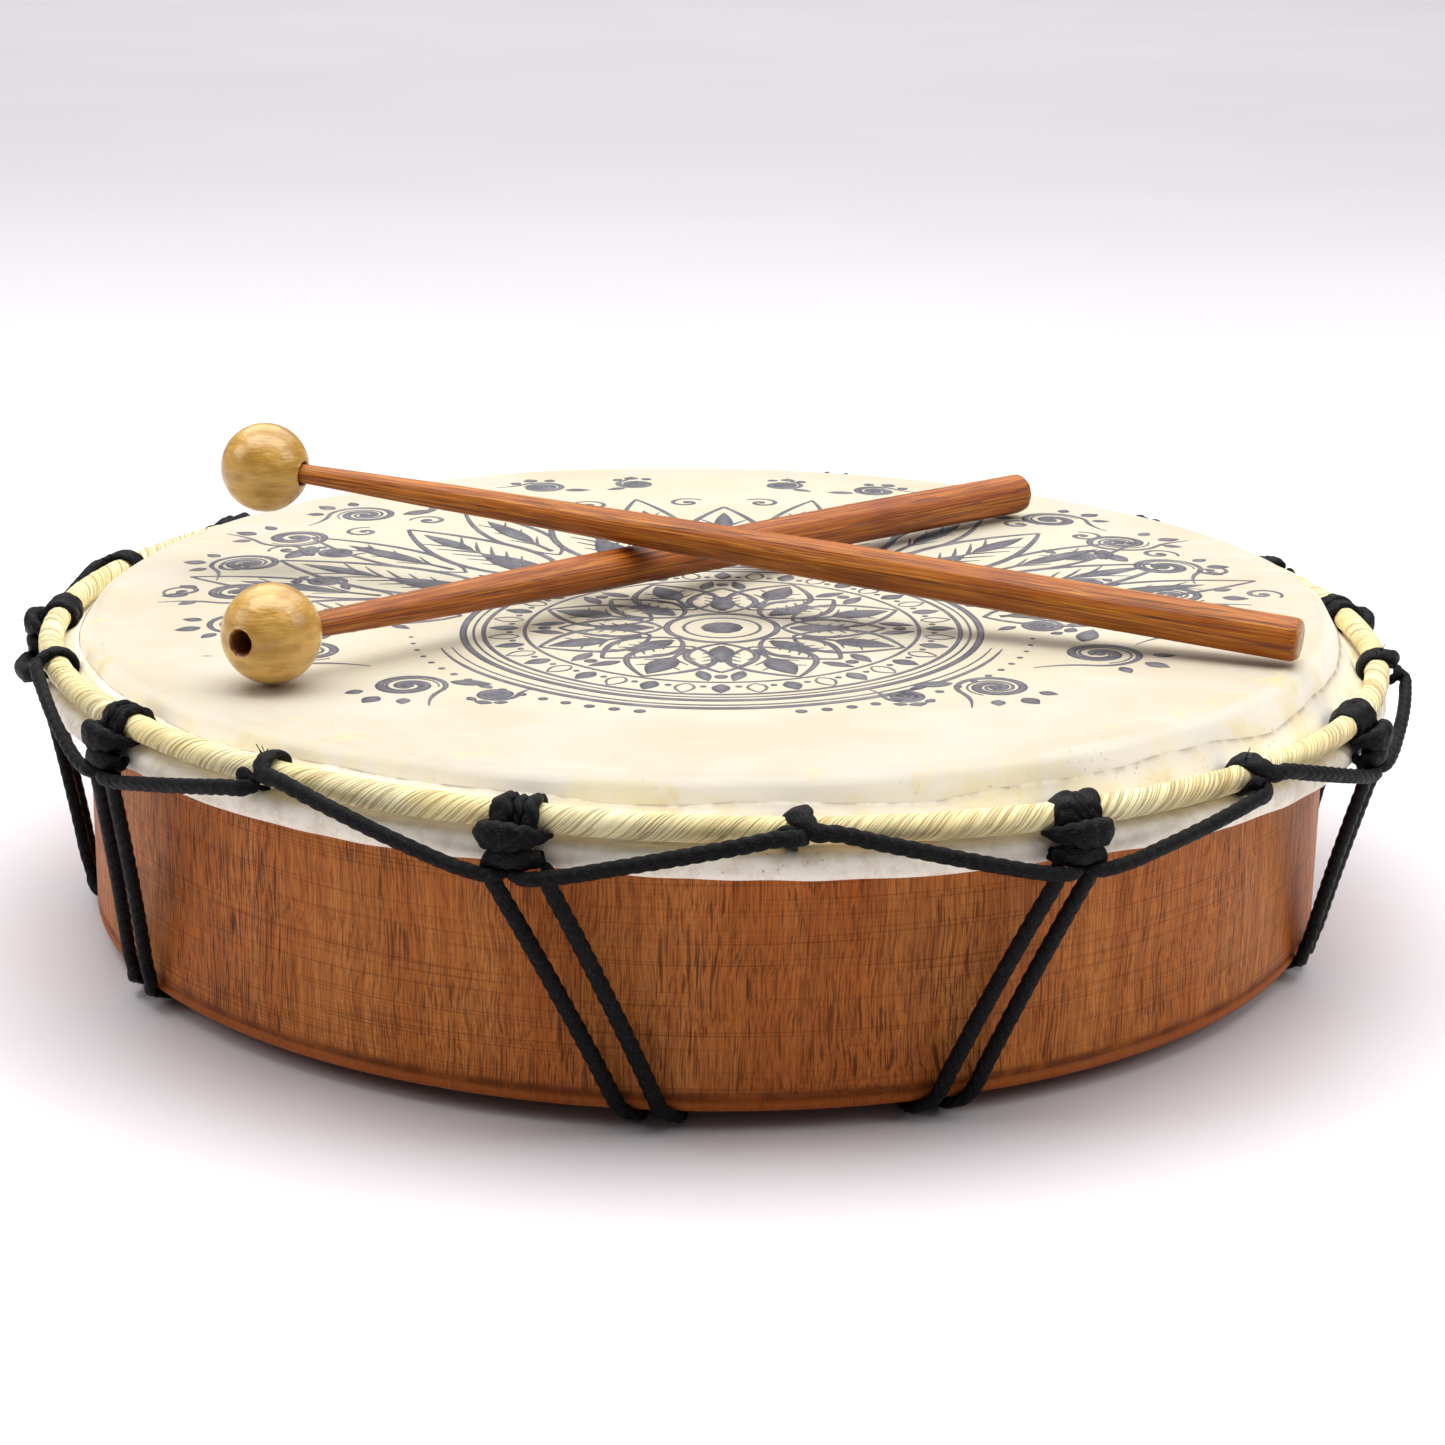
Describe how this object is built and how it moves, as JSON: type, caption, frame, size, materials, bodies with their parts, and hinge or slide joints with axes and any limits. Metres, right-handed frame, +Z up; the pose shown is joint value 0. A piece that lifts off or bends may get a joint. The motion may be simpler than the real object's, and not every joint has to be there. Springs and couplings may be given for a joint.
{
  "type": "frame drum",
  "caption": "Round hand-held frame drum with a turned wooden shell, a rope-laced rawhide head and two ball-ended wooden beaters lying crossed on the head.",
  "frame": {"origin": "on the floor under the middle of the shell's lower rim, where the drum lies on its back cords", "axes": "+Z up out of the playing head, -Y towards the front, +X to the right"},
  "size_m": [0.3366, 0.3366, 0.1126],
  "materials": {
    "mahogany": "turned reddish brown hardwood with fine dark pores, satin oil",
    "rawhide": null,
    "hoop_steel": "plain drawn wire",
    "wrapping_strip": "cream strip wound in a close spiral, matt",
    "waxed_cord": "black braided cord, lightly waxed",
    "stained_wood": "whittled wood with a red-brown stain, semi-gloss",
    "pale_wood": "turned pale wood under clear gloss lacquer"
  },
  "bodies": {
    "drum": {"shell": "mahogany", "skin_head": "rawhide", "flesh_hoop": "hoop_steel", "crown_hoop": "hoop_steel", "crown_wrap": "wrapping_strip", "side_cord_01": "waxed_cord", "side_cord_02": "waxed_cord", "side_cord_03": "waxed_cord", "side_cord_04": "waxed_cord", "side_cord_05": "waxed_cord", "side_cord_06": "waxed_cord", "side_cord_07": "waxed_cord", "side_cord_08": "waxed_cord", "side_cord_09": "waxed_cord", "side_cord_10": "waxed_cord", "zigzag_cord_01": "waxed_cord", "zigzag_cord_02": "waxed_cord", "zigzag_cord_03": "waxed_cord", "zigzag_cord_04": "waxed_cord", "zigzag_cord_05": "waxed_cord", "zigzag_cord_06": "waxed_cord", "zigzag_cord_07": "waxed_cord", "zigzag_cord_08": "waxed_cord", "zigzag_cord_09": "waxed_cord", "zigzag_cord_10": "waxed_cord", "back_cord_01": "waxed_cord", "back_cord_02": "waxed_cord", "back_cord_03": "waxed_cord", "back_cord_04": "waxed_cord", "back_cord_05": "waxed_cord", "back_cord_06": "waxed_cord", "back_cord_07": "waxed_cord", "back_cord_08": "waxed_cord", "back_cord_09": "waxed_cord", "back_cord_10": "waxed_cord", "grip_ring": "waxed_cord"},
    "beater_lower": {"beater_lower_stick": "stained_wood", "beater_lower_ball": "pale_wood"},
    "beater_upper": {"beater_upper_stick": "stained_wood", "beater_upper_ball": "pale_wood"}
  },
  "joints": [
    {"name": "beater_lower_lift", "type": "slide", "parent": "drum", "child": "beater_lower", "axis": [0, 0, 1], "range_m": [0, 0.12]},
    {"name": "beater_upper_lift", "type": "slide", "parent": "beater_lower", "child": "beater_upper", "axis": [0, 0, 1], "range_m": [0, 0.12]}
  ]
}
